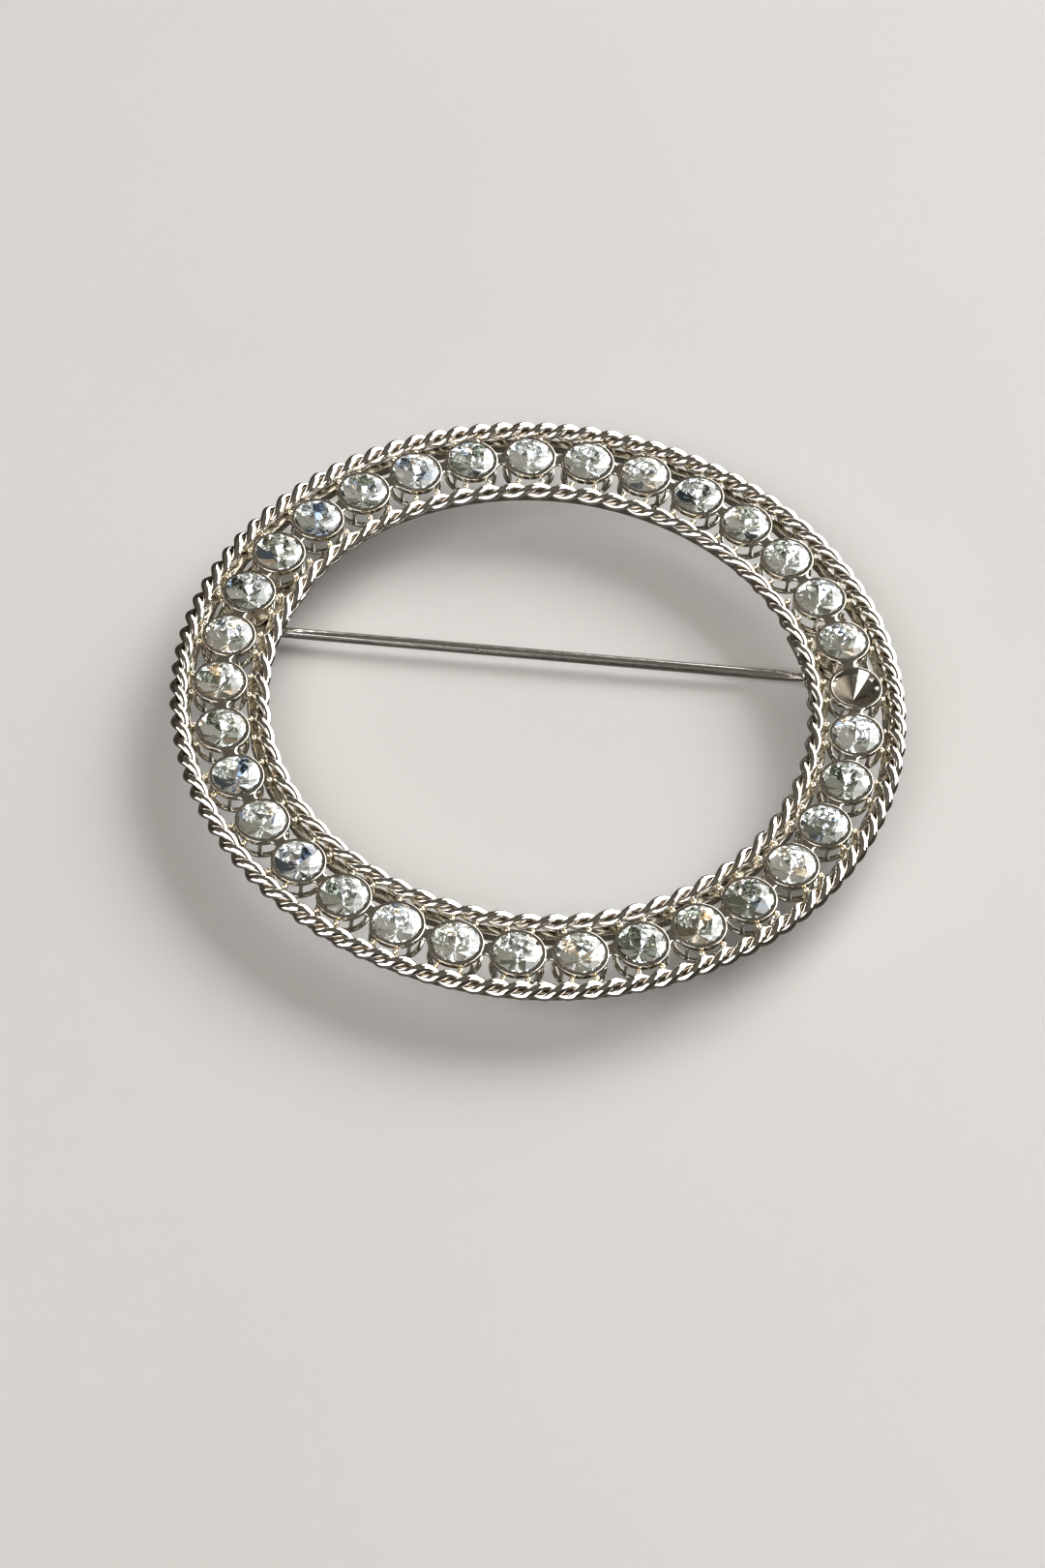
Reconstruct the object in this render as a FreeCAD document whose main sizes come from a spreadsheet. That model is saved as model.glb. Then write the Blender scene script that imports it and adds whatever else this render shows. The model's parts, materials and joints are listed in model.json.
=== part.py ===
"""Round ring brooch: a row of set stones between two twisted wire ropes, with a pin and safety catch behind.

The ring lies flat, its stones face +Z, and the pin runs along X behind the upper part of the opening.
The origin is on the ring's axis, at the lowest point of the pin's hinge. All sizes are in millimetres.
"""

import FreeCAD, Part
import math
import os
import re
import Sketcher

Vector = FreeCAD.Vector
Z_AXIS = Vector(0, 0, 1)

# Driving dimensions. Every other size below, and every feature, follows from these.
DRIVING = {
    # The ring of settings
    "ring_radius": 26.5,
    "setting_count": 33,
    "empty_setting_angle": 8.371,
    "cup_radius": 2.25,
    "cup_band_height": 0.55,
    "cup_seat_radius": 1.98,
    "cup_seat_lip": 0.03,
    "cup_throat_radius": 1.7,
    "cup_throat_drop": 0.36,
    "cup_seat_depth": 1.7,
    "cup_cone_top_radius": 1.62,
    "cup_cone_foot_radius": 0.35,
    "cup_cone_depth": 1.95,
    # The open gallery under the cups
    "gallery_depth": 2.2,
    "gallery_height": 0.35,
    "gallery_wire_width": 0.4,
    "gallery_post_radius": 0.18,
    "gallery_post_angle": 55.0,
    # The flat bridges between neighbouring cups
    "bridge_drop": 0.06,
    "bridge_thickness": 0.35,
    "bridge_width": 1.15,
    # Stones
    "stone_sides": 16,
    "stone_radius": 1.93,
    "stone_girdle": 0.1,
    "stone_girdle_drop": 0.02,
    "stone_crown": 0.42,
    "stone_table_radius": 1.12,
    "stone_pavilion": 1.6,
    "stone_culet_radius": 0.03,
    # The two ropes, each of two wires twisted left-handed
    "outer_rope_radius": 29.85,
    "outer_wire": 0.78,
    "outer_turns": 49,
    "outer_rope_drop": 0.5,
    "inner_rope_radius": 23.05,
    "inner_wire": 0.705,
    "inner_turns": 33,
    "inner_rope_drop": 0.55,
    "wire_gap": 0.04,
    # The flat rails that carry the ropes from below, on the settings' side
    "outer_rail_outer_radius": 29.6,
    "inner_rail_inner_radius": 23.3,
    "rail_chamfer": 0.12,
    "rail_rise": 0.09,
    # The ball-topped posts between the cups and the ropes
    "post_radius": 0.22,
    "post_rise": 1.02,
    "post_dome_depth": 0.18,
    "post_dome_step": 0.07,
    "post_dome_middle_radius": 0.165,
    "post_dome_top_radius": 0.08,
    "post_offset_angle": 2.0,
    "inner_post_offset_angle": 2.38,
    # Gaps that stand for the solder film between pieces
    "solder_gap": 0.04,
    # The pin and its line across the back
    "pin_line": 8.0,
    "pin_height": 1.1,
    "pin_radius": 0.45,
    "pin_point_radius": 0.36,
    "pin_root_radius": 0.55,
    "pin_root_end": 2.0,
    "pin_straight_start": 2.6,
    "pin_straight_end": 20.6,
    "pin_taper_end": 22.4,
    "pin_point_start": 25.9,
    "pin_point_end": 27.2,
    "pin_tip_radius": 0.06,
    "knuckle_radius": 0.8,
    "knuckle_width": 1.2,
    "knuckle_headroom": 0.45,
    # Hinge
    "hinge_station": 25.1,
    "ear_radius": 1.1,
    "ear_thickness": 0.6,
    "hinge_base_length": 3.6,
    "hinge_base_thickness": 0.4,
    "rivet_radius": 0.35,
    "rivet_head_radius": 0.62,
    "rivet_head_height": 0.28,
    "rivet_head_edge": 0.09,
    "ear_hole_clearance": 0.02,
    "running_clearance": 0.05,
    # Catch and its safety rotor
    "catch_station": 24.7,
    "housing_radius": 1.45,
    "housing_bore_radius": 1.0,
    "housing_length": 3.2,
    "housing_neck_width": 1.5,
    "mouth_half_angle": 43.0,
    "tab_gap_width": 1.15,
    "tab_gap_top": 0.5,
    "rotor_radius": 0.95,
    "rotor_length": 3.0,
    "rotor_slot_half_width": 0.42,
    "tab_width": 0.95,
    "tab_thickness": 0.44,
    "tab_reach": 3.1,
    # Backing plates that carry the hinge and the catch
    "plate_thickness": 0.5,
    "plate_half_span": 8.5,
    "plate_inner_radius": 23.0,
    "plate_outer_radius": 28.6,
}

# Sizes worked out from the driving ones, in the order the sheet needs them.
DERIVED = {
    "setting_pitch_angle": "=360 / setting_count",
    "pin_to_plate": "=knuckle_radius + knuckle_headroom + hinge_base_thickness",
    "plate_floor": "=pin_height + pin_to_plate",
    "back_plane": "=plate_floor + plate_thickness",
    "rim_plane": "=back_plane + gallery_depth",
    "gallery_top": "=back_plane + gallery_height",
    "cup_shoulder": "=rim_plane - cup_band_height",
    "outer_rope_height": "=rim_plane - outer_rope_drop",
    "inner_rope_height": "=rim_plane - inner_rope_drop",
    "outer_rail_top": "=outer_rope_height - outer_wire - wire_gap / 2 - solder_gap + rail_rise",
    "inner_rail_top": "=inner_rope_height - inner_wire - wire_gap / 2 - solder_gap + rail_rise",
    "outer_rail_inner_radius": "=ring_radius + cup_radius + solder_gap",
    "inner_rail_outer_radius": "=ring_radius - cup_radius - solder_gap",
    "outer_post_ring": "=outer_rope_radius - outer_wire - wire_gap / 2 - solder_gap - post_radius",
    "inner_post_ring": "=inner_rope_radius + inner_wire + wire_gap / 2 + solder_gap + post_radius",
    "gallery_inner_radius": "=cup_radius - gallery_wire_width",
    "gallery_post_ring": "=cup_radius - gallery_wire_width / 2",
    "bridge_cut_radius": "=cup_radius + solder_gap",
    "ear_span": "=knuckle_width + 2 * running_clearance + 2 * ear_thickness",
}


def sized(expression):
    """An expression in the sheet's aliases, written out so that another object can use it."""
    return re.sub(r"\b[a-z][a-z_]+\b(?!\()", lambda word: "Sizes." + word.group(0), expression)


def fill_sheet(doc):
    sheet = doc.addObject("Spreadsheet::Sheet", "Sizes")
    cells = {**DRIVING, **DERIVED}
    for row, (alias, content) in enumerate(cells.items(), start=1):
        sheet.set(f"A{row}", alias)
        sheet.set(f"B{row}", str(content))
        sheet.setAlias(f"B{row}", alias)
    doc.recompute()
    return sheet


def value_of(sheet, expression):
    """The number that an expression in aliases comes to."""
    return float(sheet.evalExpression(sized(expression)))


def new_body(doc, name):
    body = doc.addObject("PartDesign::Body", name)
    body.Label = name
    return body


def place(item, x="0", y="0", z="0", turn="0"):
    """Bind an object's Placement: a point, and a turn about +Z in degrees."""
    item.Placement = FreeCAD.Placement(Vector(), FreeCAD.Rotation(Z_AXIS, 1))
    item.setExpression("Placement.Base.x", sized(x))
    item.setExpression("Placement.Base.y", sized(y))
    item.setExpression("Placement.Base.z", sized(z))
    item.setExpression("Placement.Rotation.Angle", sized(turn))


def origin_feature(body, role):
    return next(item for item in body.Origin.OriginFeatures if item.Role == role)


def sketch_on(body, role, name):
    """A sketch on one of the body's own origin planes."""
    sketch = body.newObject("Sketcher::SketchObject", name)
    sketch.AttachmentSupport = [(origin_feature(body, role), "")]
    sketch.MapMode = "FlatFace"
    return sketch


def pin_point(sketch, geometry, point, across, up):
    """Fix one point of a sketch at two expressions, measured from the sketch's origin."""
    for kind, expression, axis in (("DistanceX", across, -2), ("DistanceY", up, -1)):
        if expression == "0":
            sketch.addConstraint(Sketcher.Constraint("PointOnObject", geometry, point, axis))
            continue
        start = value_of(sketch.Document.Sizes, expression)
        index = sketch.addConstraint(Sketcher.Constraint(kind, -1, 1, geometry, point, start))
        sketch.setExpression(f"Constraints[{index}]", sized(expression))


def draw_outline(sketch, corners):
    """A closed outline of straight lines through corners given as pairs of expressions."""
    sheet = sketch.Document.Sizes
    points = [Vector(value_of(sheet, across), value_of(sheet, up), 0) for across, up in corners]
    lines = [Part.LineSegment(start, end) for start, end in zip(points, points[1:] + points[:1])]
    first = sketch.addGeometry(lines, False)[0]
    for step in range(len(lines)):
        following = first + (step + 1) % len(lines)
        sketch.addConstraint(Sketcher.Constraint("Coincident", first + step, 2, following, 1))
    for step, (across, up) in enumerate(corners):
        pin_point(sketch, first + step, 1, across, up)


def draw_rectangle(sketch, low, high):
    draw_outline(sketch, [low, (high[0], low[1]), high, (low[0], high[1])])


def draw_circle(sketch, radius, across="0", up="0"):
    sheet = sketch.Document.Sizes
    centre = Vector(value_of(sheet, across), value_of(sheet, up), 0)
    circle = sketch.addGeometry(Part.Circle(centre, Z_AXIS, value_of(sheet, radius)), False)
    pin_point(sketch, circle, 3, across, up)
    index = sketch.addConstraint(Sketcher.Constraint("Radius", circle, value_of(sheet, radius)))
    sketch.setExpression(f"Constraints[{index}]", sized(radius))


def draw_upright_axis(sketch, across):
    """A construction line at a distance from the sketch's own upright axis, to turn a profile about."""
    distance = value_of(sketch.Document.Sizes, across)
    line = Part.LineSegment(Vector(distance, 0, 0), Vector(distance, 1, 0))
    axis = sketch.addGeometry(line, True)
    pin_point(sketch, axis, 1, across, "0")
    sketch.addConstraint(Sketcher.Constraint("Vertical", axis))
    sketch.addConstraint(Sketcher.Constraint("DistanceY", axis, 1, axis, 2, 1))


def extrude(body, kind, sketch, length, both_ways=True, reverse=False):
    """A Pad or a Pocket of a sketch, by an expression's length."""
    feature = body.newObject("PartDesign::" + kind, sketch.Name + kind)
    feature.Profile = sketch
    feature.SideType = "Symmetric" if both_ways else "One side"
    feature.Reversed = reverse
    feature.setExpression("Length", sized(length))
    return feature


def revolve(body, sketch, axis="V_Axis", angle=None):
    """A Revolution of a sketch: a full turn, or an expression's angle shared to both sides."""
    feature = body.newObject("PartDesign::Revolution", sketch.Name + "Turn")
    feature.Profile = sketch
    feature.ReferenceAxis = (sketch, [axis])
    feature.Angle = 360
    if angle:
        feature.Midplane = True
        feature.setExpression("Angle", sized(angle))
    return feature


def repeat_round(body, features):
    """Repeat features once at every setting, about the ring's axis."""
    pattern = body.newObject("PartDesign::PolarPattern", body.Name + "Pattern")
    pattern.Originals = features
    pattern.Axis = (origin_feature(body, "Z_Axis"), [""])
    pattern.Angle = 360
    pattern.setExpression("Occurrences", sized("setting_count"))
    body.Tip = pattern
    place(body, turn="empty_setting_angle")


def make_setting_cups(doc):
    """Round cups: a short upright band, a lip that slopes in, and a conical seat closed at its foot."""
    body = new_body(doc, "setting_cups")
    sketch = sketch_on(body, "XZ_Plane", "CupProfile")
    corners = [
        ("ring_radius", "rim_plane - cup_seat_depth"),
        ("ring_radius + cup_throat_radius", "rim_plane - cup_throat_drop"),
        ("ring_radius + cup_seat_radius", "rim_plane - cup_seat_lip"),
        ("ring_radius + cup_seat_radius", "rim_plane"),
        ("ring_radius + cup_radius", "rim_plane"),
        ("ring_radius + cup_radius", "cup_shoulder"),
        ("ring_radius + cup_cone_top_radius", "cup_shoulder"),
        ("ring_radius + cup_cone_foot_radius", "rim_plane - cup_cone_depth"),
        ("ring_radius", "rim_plane - cup_cone_depth"),
    ]
    draw_upright_axis(sketch, "ring_radius")
    draw_outline(sketch, corners)
    repeat_round(body, [revolve(body, sketch, "Axis0")])
    return body


def make_gallery_rings(doc):
    """A flat wire ring under each cup, at the back plane."""
    body = new_body(doc, "gallery_rings")
    sketch = sketch_on(body, "XZ_Plane", "GalleryProfile")
    draw_upright_axis(sketch, "ring_radius")
    inner = "ring_radius + gallery_inner_radius"
    outer = "ring_radius + cup_radius"
    draw_rectangle(sketch, (inner, "back_plane"), (outer, "gallery_top"))
    repeat_round(body, [revolve(body, sketch, "Axis0")])
    return body


def make_upright_rods(doc, name, places, radius, foot, top):
    """Plain round rods standing at the same places round every cup."""
    body = new_body(doc, name)
    sketch = sketch_on(body, "XY_Plane", name + "Plan")
    sketch.AttachmentOffset = FreeCAD.Placement(Vector(0, 0, 1), FreeCAD.Rotation())
    sketch.setExpression("AttachmentOffset.Base.z", sized(foot))
    for across, up in places:
        draw_circle(sketch, radius, across, up)
    rods = extrude(body, "Pad", sketch, f"({top}) - ({foot})", both_ways=False)
    repeat_round(body, [rods])
    return body


def make_gallery_posts(doc):
    """Four short posts a cup, from the gallery ring up to the shoulder of the cup's band."""
    places = []
    for side in ("", "180 - "):
        for sign in ("", "-"):
            angle = f"({side}gallery_post_angle)"
            across = f"ring_radius + gallery_post_ring * cos({angle} * 1deg)"
            places.append((across, f"{sign}gallery_post_ring * sin({angle} * 1deg)"))
    radius = "gallery_post_radius"
    return make_upright_rods(doc, "gallery_posts", places, radius, "gallery_top", "cup_shoulder")


def make_ball_posts(doc, name, ring, turn, foot):
    """Two round posts with eased tops a cup, between it and a rope. Each stands on the rope's rail."""
    body = new_body(doc, name)
    top = f"{foot} + post_rise"
    posts = []
    for side, sign in (("Left", "-"), ("Right", "")):
        profile = sketch_on(body, "XZ_Plane", name + side)
        profile.AttachmentOffset = FreeCAD.Placement(Vector(), FreeCAD.Rotation(Vector(0, 1, 0), 1))
        profile.setExpression("AttachmentOffset.Rotation.Angle", sized(sign + turn))
        corners = [
            (ring, foot),
            (f"{ring} + post_radius", foot),
            (f"{ring} + post_radius", f"{top} - post_dome_depth"),
            (f"{ring} + post_dome_middle_radius", f"{top} - post_dome_step"),
            (f"{ring} + post_dome_top_radius", top),
            (ring, top),
        ]
        draw_upright_axis(profile, ring)
        draw_outline(profile, corners)
        posts.append(revolve(body, profile, "Axis0"))
    repeat_round(body, posts)
    return body


def make_cup_bridges(doc):
    """A small flat plate between each pair of cups, hollowed at both ends to fit their round walls."""
    body = new_body(doc, "cup_bridges")
    plan = sketch_on(body, "XY_Plane", "BridgePlan")
    plan.AttachmentOffset = FreeCAD.Placement(Vector(0, 0, 1), FreeCAD.Rotation())
    plan.setExpression("AttachmentOffset.Base.z", sized("rim_plane - bridge_drop"))
    half_pitch = "ring_radius * sin(setting_pitch_angle / 2 * 1deg)"
    waist = "ring_radius * cos(setting_pitch_angle / 2 * 1deg)"
    low = (f"{waist} - bridge_width / 2", f"-({half_pitch}) / 2")
    high = (f"{waist} + bridge_width / 2", f"{half_pitch} / 2")
    draw_rectangle(plan, low, high)
    plate = extrude(body, "Pad", plan, "bridge_thickness", both_ways=False, reverse=True)
    hollows = sketch_on(body, "XY_Plane", "BridgeHollows")
    hollows.AttachmentOffset = FreeCAD.Placement(Vector(0, 0, 1), FreeCAD.Rotation())
    hollows.setExpression("AttachmentOffset.Base.z", sized("rim_plane"))
    draw_circle(hollows, "bridge_cut_radius", waist, half_pitch)
    draw_circle(hollows, "bridge_cut_radius", waist, f"-({half_pitch})")
    cut = extrude(body, "Pocket", hollows, "bridge_drop + 2 * bridge_thickness", both_ways=False)
    repeat_round(body, [plate, cut])
    place(body, turn="empty_setting_angle + setting_pitch_angle / 2")
    return body


def make_rail(doc, name, inner, outer, top):
    """A flat ring under a rope, with its upper edges eased. Its back is one plain annular face."""
    body = new_body(doc, name)
    sketch = sketch_on(body, "XZ_Plane", name + "Profile")
    corners = [
        (inner, "back_plane"),
        (outer, "back_plane"),
        (outer, f"{top} - rail_chamfer"),
        (f"{outer} - rail_chamfer", top),
        (f"{inner} + rail_chamfer", top),
        (inner, f"{top} - rail_chamfer"),
    ]
    draw_outline(sketch, corners)
    revolve(body, sketch)
    return body


def make_stones(doc, sheet):
    """Round faceted stones in every setting but the empty one, each a stack of regular polygons."""
    levels = {
        "culet": ("stone_culet_radius", "-stone_girdle_drop - stone_pavilion"),
        "girdle_foot": ("stone_radius", "-stone_girdle_drop"),
        "girdle_top": ("stone_radius", "stone_girdle - stone_girdle_drop"),
        "table": ("stone_table_radius", "stone_girdle - stone_girdle_drop + stone_crown"),
    }
    outlines = []
    for level, (radius, height) in levels.items():
        outline = doc.addObject("Part::RegularPolygon", "stone_" + level)
        outline.setExpression("Polygon", sized("stone_sides"))
        outline.setExpression("Circumradius", sized(radius))
        outline.setExpression("Placement.Base.z", sized(height))
        outlines.append(outline)
    stones = []
    for number in range(1, int(sheet.get("setting_count"))):
        stone = doc.addObject("Part::Loft", f"stone_{number:02d}")
        stone.Label = stone.Name
        stone.Sections = outlines
        stone.Solid = True
        stone.Ruled = True
        angle = f"(empty_setting_angle + {number} * setting_pitch_angle)"
        across = f"ring_radius * cos({angle} * 1deg)"
        place(stone, across, f"ring_radius * sin({angle} * 1deg)", "rim_plane", angle)
        stones.append(stone)
    return stones


def twisted_wire(ring, wire, gap, turns, phase):
    """One wire of a two-wire rope closed into a ring, twisted left-handed, as a solid about the origin.

    The wire's axis runs round a circle of half the wire and gap, while that circle's centre runs round
    the ring. One turn of the twist is swept, and copies of it are sewn into the closed wire.
    """
    offset = (wire + gap) / 2
    turn_angle = 2 * math.pi / turns
    stations = 12

    def axis_point(angle):
        twist = phase + turns * angle
        radius = ring + offset * math.cos(twist)
        return Vector(radius * math.cos(angle), radius * math.sin(angle), offset * math.sin(twist))

    # One turn more at each end than is used, so that the curve's ends don't shape the turn that is kept.
    steps = range(-stations, 2 * stations + 1)
    points = [axis_point(turn_angle * step / stations) for step in steps]
    curve = Part.BSplineCurve()
    curve.interpolate(Points=points)
    start = curve.parameter(points[stations])
    end = curve.parameter(points[2 * stations])
    path = Part.Wire([curve.toShape(start, end)])
    section = Part.Wire([Part.makeCircle(wire / 2, curve.value(start), curve.tangent(start)[0])])
    one_turn = path.makePipeShell([section], False, True)
    faces = []
    for turn in range(turns):
        copy = one_turn.copy()
        copy.rotate(Vector(), Z_AXIS, 360 * turn / turns)
        faces.extend(copy.Faces)
    skin = Part.makeCompound(faces)
    skin.sewShape()
    return Part.makeSolid(skin.Shells[0])


def make_rope_strands(doc, sheet, side):
    """The two wires of one rope."""
    strands = []
    for letter, phase in (("a", 0), ("b", math.pi)):
        strand = doc.addObject("Part::Feature", f"{side}_rope_strand_{letter}")
        strand.Label = strand.Name
        strand.Shape = twisted_wire(
            sheet.get(side + "_rope_radius"),
            sheet.get(side + "_wire"),
            sheet.get("wire_gap"),
            int(sheet.get(side + "_turns")),
            phase,
        )
        place(strand, z=side + "_rope_height")
        strands.append(strand)
    return strands


def make_plate(doc, name, turn):
    """A backing plate that follows the ring, across the gallery rings and both rails' edges."""
    body = new_body(doc, name)
    sketch = sketch_on(body, "XZ_Plane", name + "Profile")
    low = ("plate_inner_radius", "plate_floor")
    draw_rectangle(sketch, low, ("plate_outer_radius", "back_plane"))
    revolve(body, sketch, angle="2 * plate_half_span")
    place(body, turn=turn)
    return body


def make_hinge_bracket(doc):
    """A flat base with two round-ended ears, drilled for the rivet. Its origin is on the rivet's axis."""
    body = new_body(doc, "hinge_bracket")
    base = sketch_on(body, "XZ_Plane", "HingeBase")
    half_length = "hinge_base_length / 2"
    floor = "pin_to_plate - hinge_base_thickness"
    draw_rectangle(base, (f"-({half_length})", floor), (half_length, "pin_to_plate"))
    extrude(body, "Pad", base, "ear_span")
    shanks = sketch_on(body, "XZ_Plane", "EarShanks")
    draw_rectangle(shanks, ("-ear_radius", "0"), ("ear_radius", "pin_to_plate"))
    extrude(body, "Pad", shanks, "ear_span")
    ends = sketch_on(body, "XZ_Plane", "EarEnds")
    draw_circle(ends, "ear_radius")
    extrude(body, "Pad", ends, "ear_span")
    gap = sketch_on(body, "XZ_Plane", "KnuckleGap")
    reach = "ear_radius + hinge_base_length"
    draw_rectangle(gap, (f"-({reach})", "-2 * ear_radius"), (reach, floor))
    extrude(body, "Pocket", gap, "knuckle_width + 2 * running_clearance")
    hole = sketch_on(body, "XZ_Plane", "RivetHole")
    draw_circle(hole, "rivet_radius + ear_hole_clearance")
    extrude(body, "Pocket", hole, "2 * ear_span")
    place(body, "-hinge_station", "pin_line", "pin_height")
    return body


def make_hinge_rivet(doc):
    """The rivet that the pin turns on: a plain shank with a low domed head at each end."""
    body = new_body(doc, "hinge_rivet")
    sketch = sketch_on(body, "XY_Plane", "RivetProfile")
    face = "ear_span / 2"
    crown = f"{face} + rivet_head_height"
    corners = [
        ("0", f"-({crown})"),
        ("rivet_radius", f"-({crown})"),
        ("rivet_head_radius", f"-({face}) - rivet_head_edge"),
        ("rivet_head_radius", f"-({face})"),
        ("rivet_radius", f"-({face})"),
        ("rivet_radius", face),
        ("rivet_head_radius", face),
        ("rivet_head_radius", f"{face} + rivet_head_edge"),
        ("rivet_radius", crown),
        ("0", crown),
    ]
    draw_outline(sketch, corners)
    revolve(body, sketch)
    place(body, "-hinge_station", "pin_line", "pin_height")
    return body


def make_pin_stem(doc):
    """The pin: a drilled knuckle, a stem that is thicker at its root, and a point that lies in the catch."""
    body = new_body(doc, "pin_stem")
    profile = sketch_on(body, "XZ_Plane", "StemProfile")
    corners = [
        ("0", "0"),
        ("hinge_station + pin_point_end", "0"),
        ("hinge_station + pin_point_end", "pin_tip_radius"),
        ("hinge_station + pin_point_start", "pin_point_radius"),
        ("hinge_station + pin_taper_end", "pin_point_radius"),
        ("hinge_station + pin_straight_end", "pin_radius"),
        ("pin_straight_start", "pin_radius"),
        ("pin_root_end", "pin_root_radius"),
        ("0", "pin_root_radius"),
    ]
    draw_outline(profile, corners)
    revolve(body, profile, "H_Axis")
    knuckle = sketch_on(body, "XZ_Plane", "Knuckle")
    draw_circle(knuckle, "knuckle_radius")
    extrude(body, "Pad", knuckle, "knuckle_width")
    hole = sketch_on(body, "XZ_Plane", "KnuckleHole")
    draw_circle(hole, "rivet_radius + running_clearance")
    extrude(body, "Pocket", hole, "2 * knuckle_width")
    place(body, "-hinge_station", "pin_line", "pin_height")
    return body


def make_catch_housing(doc):
    """A neck and two C-shaped jaws round the rotor, open towards the back."""
    body = new_body(doc, "catch_housing")
    barrel = sketch_on(body, "YZ_Plane", "Barrel")
    draw_circle(barrel, "housing_radius")
    extrude(body, "Pad", barrel, "housing_length")
    neck = sketch_on(body, "YZ_Plane", "Neck")
    draw_rectangle(neck, ("-housing_neck_width / 2", "0"), ("housing_neck_width / 2", "pin_to_plate"))
    extrude(body, "Pad", neck, "housing_length")
    bore = sketch_on(body, "YZ_Plane", "RotorBore")
    draw_circle(bore, "housing_bore_radius")
    extrude(body, "Pocket", bore, "2 * housing_length")
    mouth = sketch_on(body, "YZ_Plane", "Mouth")
    depth = "2 * housing_radius"
    half_width = f"{depth} * tan(mouth_half_angle * 1deg)"
    draw_outline(mouth, [("0", "0"), (f"-{half_width}", f"-{depth}"), (half_width, f"-{depth}")])
    extrude(body, "Pocket", mouth, "2 * housing_length")
    tab_gap = sketch_on(body, "YZ_Plane", "TabGap")
    low = ("-2 * housing_radius", "-2 * housing_radius")
    draw_rectangle(tab_gap, low, ("2 * housing_radius", "tab_gap_top"))
    extrude(body, "Pocket", tab_gap, "tab_gap_width")
    place(body, "catch_station", "pin_line", "pin_height")
    return body


def make_safety_rotor(doc):
    """The slotted roller that locks the pin in the catch, with a thumb tab at right angles to its slot."""
    body = new_body(doc, "safety_rotor")
    roller = sketch_on(body, "YZ_Plane", "Roller")
    draw_circle(roller, "rotor_radius")
    extrude(body, "Pad", roller, "rotor_length")
    tab = sketch_on(body, "YZ_Plane", "Tab")
    draw_rectangle(tab, ("rotor_radius / 2", "-tab_thickness / 2"), ("tab_reach", "tab_thickness / 2"))
    extrude(body, "Pad", tab, "tab_width")
    slot = sketch_on(body, "YZ_Plane", "PinSlot")
    draw_rectangle(slot, ("-rotor_slot_half_width", "-2 * rotor_radius"), ("rotor_slot_half_width", "0"))
    extrude(body, "Pocket", slot, "2 * rotor_length")
    seat = sketch_on(body, "YZ_Plane", "PinSeat")
    draw_circle(seat, "rotor_slot_half_width")
    extrude(body, "Pocket", seat, "2 * rotor_length")
    place(body, "catch_station", "pin_line", "pin_height")
    return body


def make_brooch(doc, sheet):
    """Every piece of the brooch, each an object of its own."""
    plate_turn = "asin(pin_line / ring_radius) / 1deg"
    pieces = [
        make_setting_cups(doc),
        make_gallery_rings(doc),
        make_gallery_posts(doc),
        make_cup_bridges(doc),
        make_ball_posts(doc, "outer_posts", "outer_post_ring", "post_offset_angle", "outer_rail_top"),
        make_ball_posts(doc, "inner_posts", "inner_post_ring", "inner_post_offset_angle", "inner_rail_top"),
        make_rail(doc, "outer_rail", "outer_rail_inner_radius", "outer_rail_outer_radius", "outer_rail_top"),
        make_rail(doc, "inner_rail", "inner_rail_inner_radius", "inner_rail_outer_radius", "inner_rail_top"),
        make_plate(doc, "hinge_plate", f"180 - {plate_turn}"),
        make_plate(doc, "catch_plate", plate_turn),
        make_hinge_bracket(doc),
        make_hinge_rivet(doc),
        make_pin_stem(doc),
        make_catch_housing(doc),
        make_safety_rotor(doc),
    ]
    pieces += make_rope_strands(doc, sheet, "outer")
    pieces += make_rope_strands(doc, sheet, "inner")
    pieces += make_stones(doc, sheet)
    return pieces


def check(doc, pieces):
    """Stop before anything is written if a feature failed or a piece isn't a sound solid."""
    for item in doc.Objects:
        if "Invalid" in item.State or "Error" in item.State:
            raise RuntimeError(f"{item.Name} did not compute: {item.State}")
    for piece in pieces:
        shape = piece.Shape
        if shape.isNull() or not shape.isValid() or not shape.Solids:
            raise RuntimeError(f"{piece.Label} is not a sound solid")
        if min(solid.Volume for solid in shape.Solids) <= 0:
            raise RuntimeError(f"{piece.Label} is inside out")


def main():
    doc = FreeCAD.newDocument("Brooch")
    sheet = fill_sheet(doc)
    pieces = make_brooch(doc, sheet)
    doc.recompute()
    check(doc, pieces)
    os.makedirs("parts", exist_ok=True)
    for piece in pieces:
        piece.Shape.exportStep(f"parts/{piece.Label}.step")


main()
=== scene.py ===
import json
import math
import random

import bmesh
import bpy
import numpy as np
from mathutils import Matrix, Vector


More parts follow.
